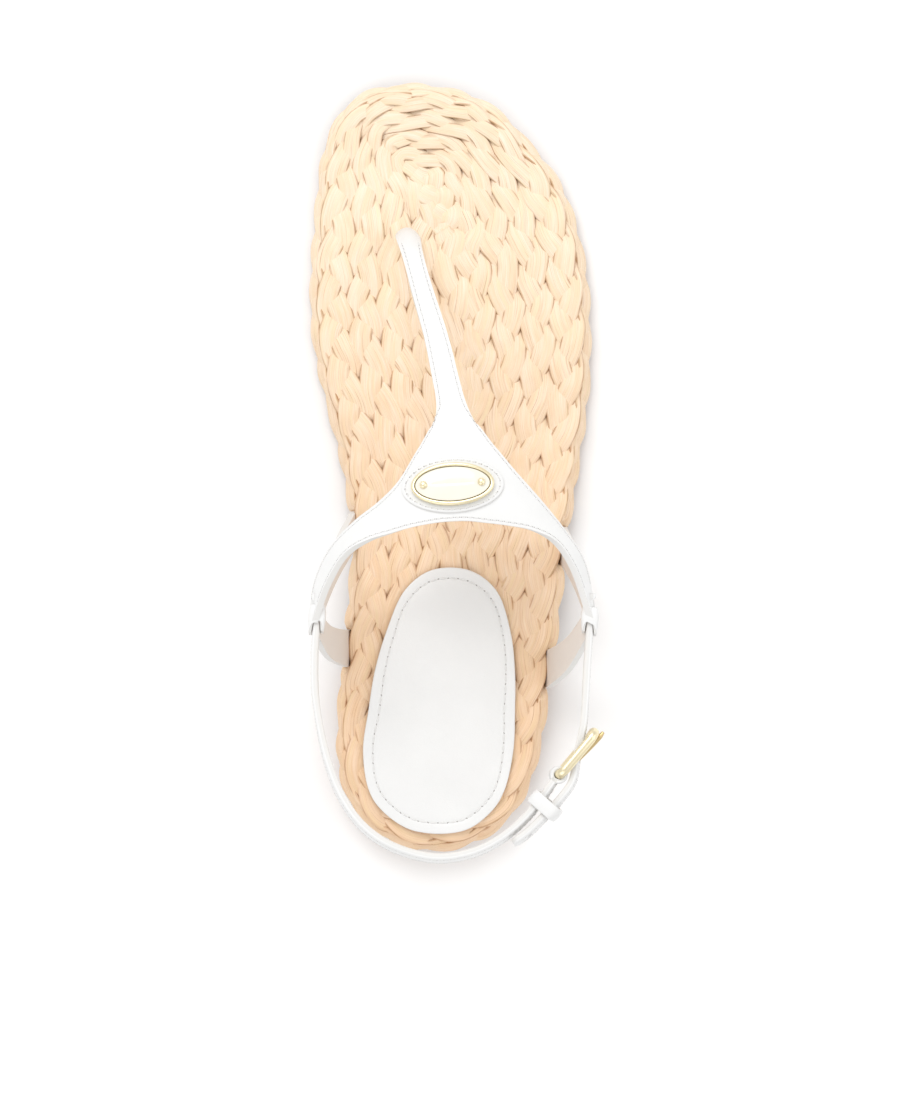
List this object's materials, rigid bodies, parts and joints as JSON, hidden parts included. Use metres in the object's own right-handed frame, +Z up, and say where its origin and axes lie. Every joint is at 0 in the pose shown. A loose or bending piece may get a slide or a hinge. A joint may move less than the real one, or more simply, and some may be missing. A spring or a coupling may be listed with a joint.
{
  "type": "toe post sandal",
  "caption": "Flat toe post sandal for the right foot: raffia plait footbed, leather T-strap upper with a small oval plaque, and a buckled slingback strap.",
  "frame": {"origin": "on the floor, at the centre of the flat tread under the heel", "axes": "+Z up, +Y from heel to toe, +X to the outer side of the foot"},
  "size_m": [0.0944, 0.2479, 0.069],
  "materials": {
    "outsole_rubber": "matte tan rubber",
    "raffia_side": "plaited natural raffia",
    "raffia": "plaited natural raffia, slightly glossy strands",
    "pad_leather": "smooth white leather",
    "strap_leather": "smooth white leather with a pale beige lining",
    "pale_gold": "polished pale gold plating",
    "plaque_enamel": "gloss cream enamel"
  },
  "bodies": {
    "root": {"outsole": "outsole_rubber", "midsole": "raffia_side", "footbed": "raffia", "heel_pad": "pad_leather", "upper": "strap_leather", "heel_strap": "strap_leather", "front_strap": "strap_leather", "strap_keeper": "strap_leather", "buckle_frame": "pale_gold", "buckle_prong": "pale_gold", "plaque_tray": "pale_gold", "plaque_face": "plaque_enamel", "plaque_pin_inner": "pale_gold", "plaque_pin_outer": "pale_gold"}
  },
  "joints": []
}
